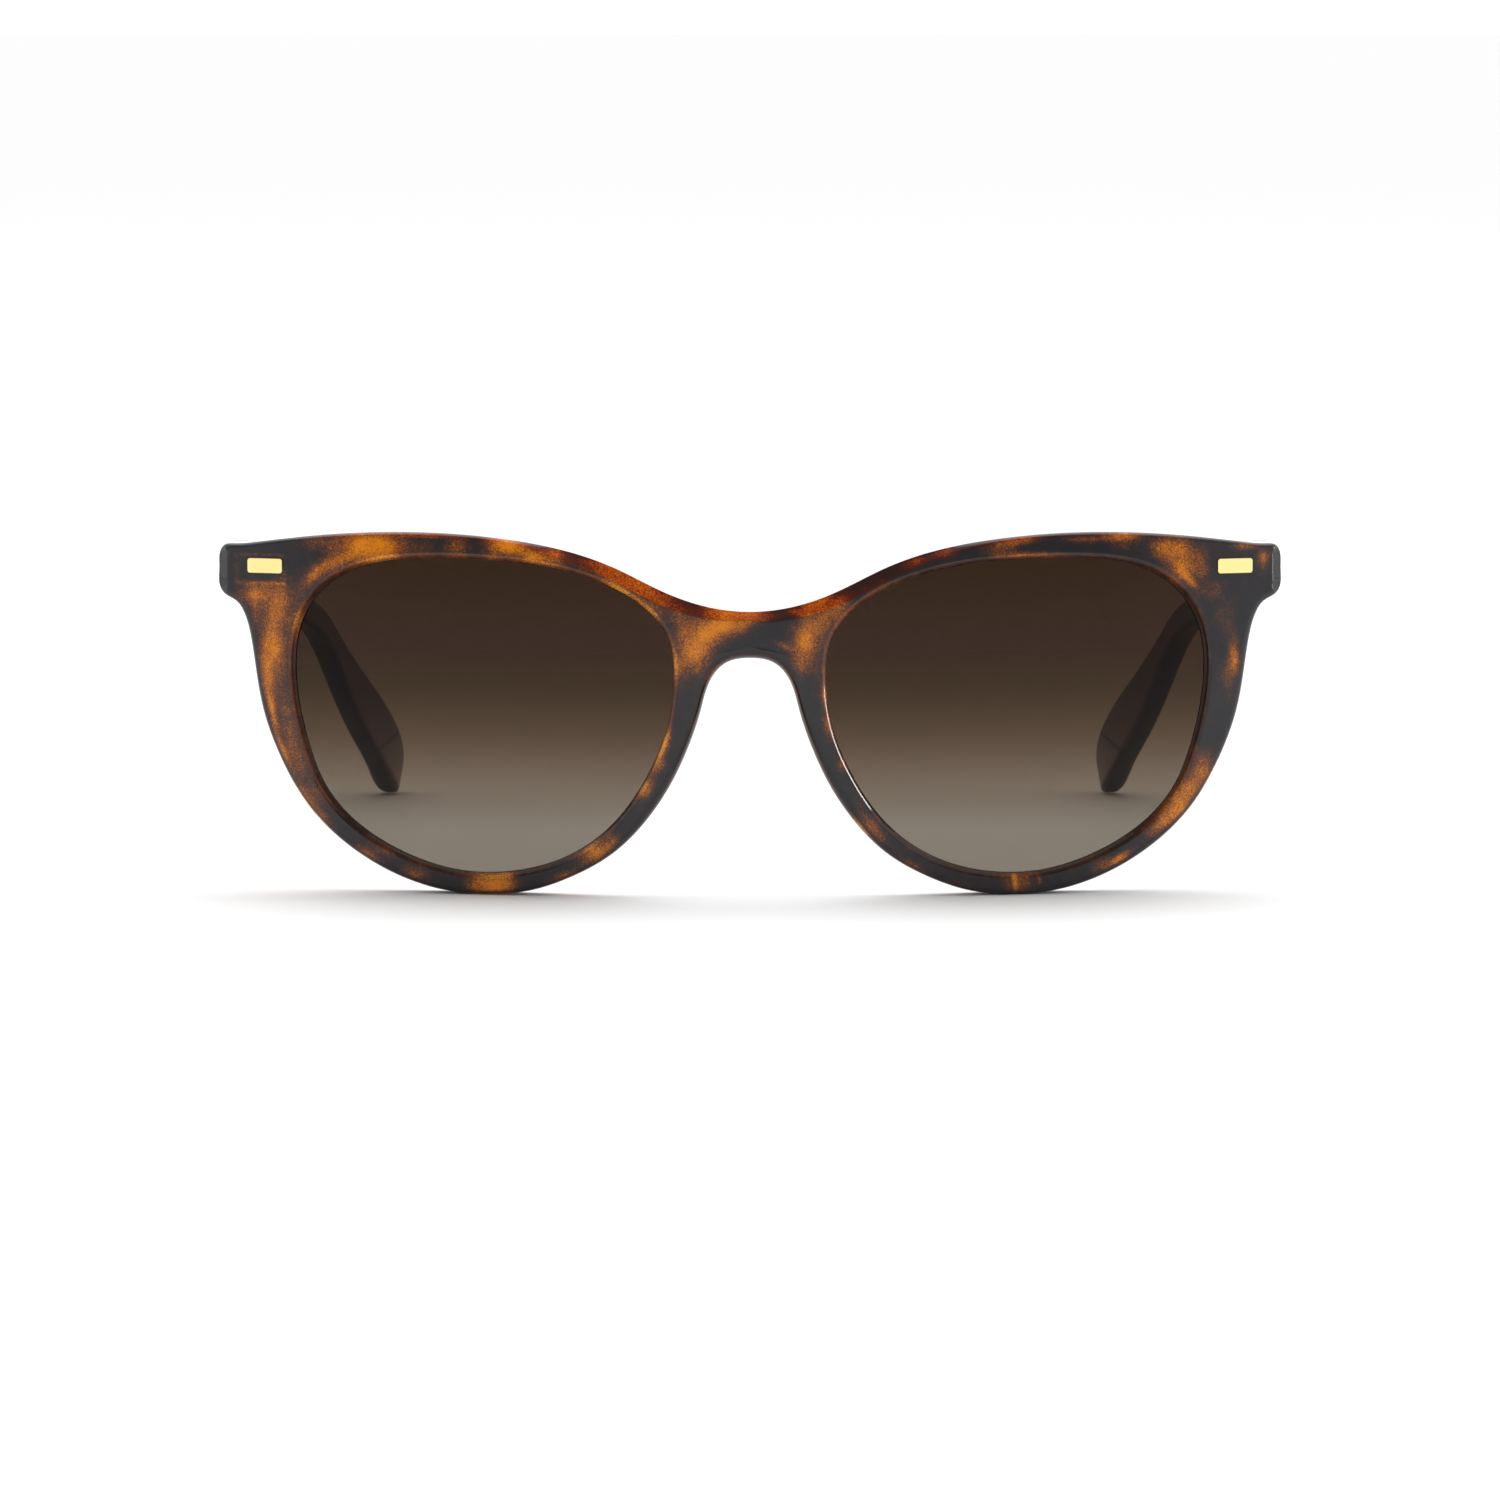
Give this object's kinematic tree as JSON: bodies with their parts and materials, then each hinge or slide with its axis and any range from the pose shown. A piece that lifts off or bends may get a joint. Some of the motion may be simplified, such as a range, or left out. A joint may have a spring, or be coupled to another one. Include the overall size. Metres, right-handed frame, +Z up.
{
  "type": "sunglasses",
  "caption": "Cat eye sunglasses with curved rims, tinted lenses, hinged temples that fold flat and separate temple tips.",
  "frame": {"origin": "on the table, under the middle of the box round the open pair", "axes": "+X towards the wearer's left, +Y from the front back along the temples, +Z up"},
  "size_m": [0.1434, 0.1389, 0.0486],
  "materials": {
    "havana_plastic": "polished, mottled tortoiseshell",
    "lens_tint": "brown gradient tint, dark above, lighter below",
    "pale_gold": "satin, pale gold plated",
    "hinge_steel": "satin",
    "screw_steel": "polished",
    "core_steel": "plain",
    "temple_plastic": "satin, dark plum brown",
    "tip_plastic": "satin, dark plum brown"
  },
  "bodies": {
    "front": {"front_frame": "havana_plastic", "left_lens": "lens_tint", "left_corner_plaque": "pale_gold", "left_front_hinge": "hinge_steel", "left_hinge_screw": "screw_steel", "right_lens": "lens_tint", "right_corner_plaque": "pale_gold", "right_front_hinge": "hinge_steel", "right_hinge_screw": "screw_steel"},
    "left_temple": {"left_temple_arm": "temple_plastic", "left_temple_hinge": "hinge_steel", "left_temple_core": "core_steel", "left_temple_tip": "tip_plastic"},
    "right_temple": {"right_temple_arm": "temple_plastic", "right_temple_hinge": "hinge_steel", "right_temple_core": "core_steel", "right_temple_tip": "tip_plastic"}
  },
  "joints": [
    {"name": "left_temple_fold", "type": "hinge", "parent": "front", "child": "left_temple", "pos_m": [0.0652, -0.0458, 0.0433], "axis": [0, 0, 1], "range_deg": [0, 87]},
    {"name": "right_temple_fold", "type": "hinge", "parent": "front", "child": "right_temple", "pos_m": [-0.0652, -0.0458, 0.0433], "axis": [0, 0, -1], "range_deg": [0, 83]}
  ]
}
